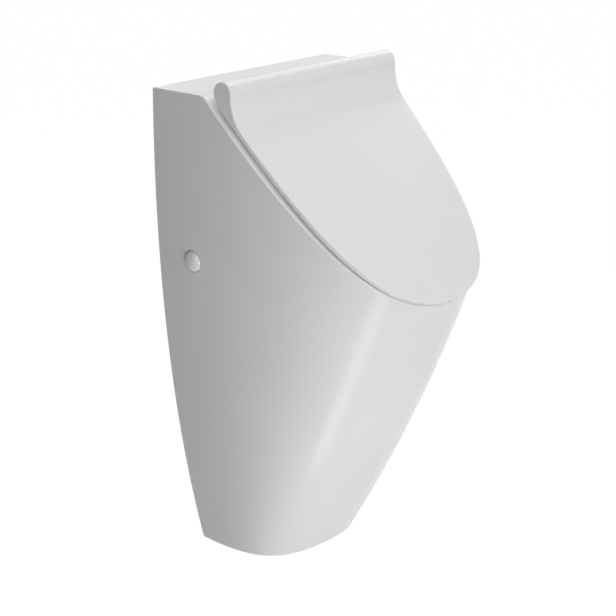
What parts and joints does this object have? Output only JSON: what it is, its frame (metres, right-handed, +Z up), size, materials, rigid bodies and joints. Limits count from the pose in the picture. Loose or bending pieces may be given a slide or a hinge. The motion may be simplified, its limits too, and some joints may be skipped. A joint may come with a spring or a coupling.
{
  "type": "wall-hung urinal with lid",
  "caption": "Wall-hung ceramic urinal with a sloping rim, a soft-close lid with a rolled lip, rear flush inlet, lift-out strainer and hidden U-bend trap.",
  "frame": {"origin": "on the wall plane, midway between the two wall fixing holes", "axes": "+X to the right seen from the front, +Y into the wall, +Z up; the bowl faces -Y"},
  "size_m": [0.3208, 0.3274, 0.6116],
  "materials": {
    "ceramic": "gloss glaze",
    "lid_plastic": "gloss",
    "cap_plastic": "gloss",
    "chrome": "polished",
    "steel": "satin",
    "zinc": "zinc plated",
    "brass": "plain",
    "rubber": "matt",
    "pipe_plastic": "satin",
    "nylon": "satin"
  },
  "bodies": {
    "basin": {"ceramic_body": "ceramic", "side_cap_left": "cap_plastic", "side_cap_right": "cap_plastic", "hinge_post_left": "chrome", "hinge_post_right": "chrome", "drain_flange": "chrome", "spreader": "chrome", "hinge_pins": "steel", "hinge_studs": "steel", "hinge_washers": "steel", "hinge_nuts": "steel", "side_screws": "steel", "wall_bracket_left": "zinc", "wall_bracket_right": "zinc", "bracket_inserts": "brass", "inlet_nut": "brass", "hinge_foot_seals": "rubber", "spreader_gasket": "rubber", "inlet_washer": "rubber", "inlet_seal": "rubber", "drain_gasket": "rubber", "drain_washer": "rubber", "trap_inlet_seal": "rubber", "trap_outlet_seal": "rubber", "outlet_seal": "rubber", "drain_nut": "pipe_plastic", "trap_inlet_nut": "pipe_plastic", "trap_bend": "pipe_plastic", "cleaning_plug": "pipe_plastic", "trap_outlet_nut": "pipe_plastic", "outlet_bend": "pipe_plastic", "side_sleeves": "nylon"},
    "lid": {"lid": "lid_plastic", "lid_buffers": "rubber", "hinge_dampers": "nylon"},
    "strainer": {"strainer": "steel"}
  },
  "joints": [
    {"name": "lid_hinge", "type": "hinge", "parent": "basin", "child": "lid", "pos_m": [0, -0.10675, 0.206], "axis": [-1, 0, 0], "range_deg": [0, 142]},
    {"name": "strainer_lift", "type": "slide", "parent": "basin", "child": "strainer", "axis": [0, 0, 1], "range_m": [0, 0.1]}
  ]
}
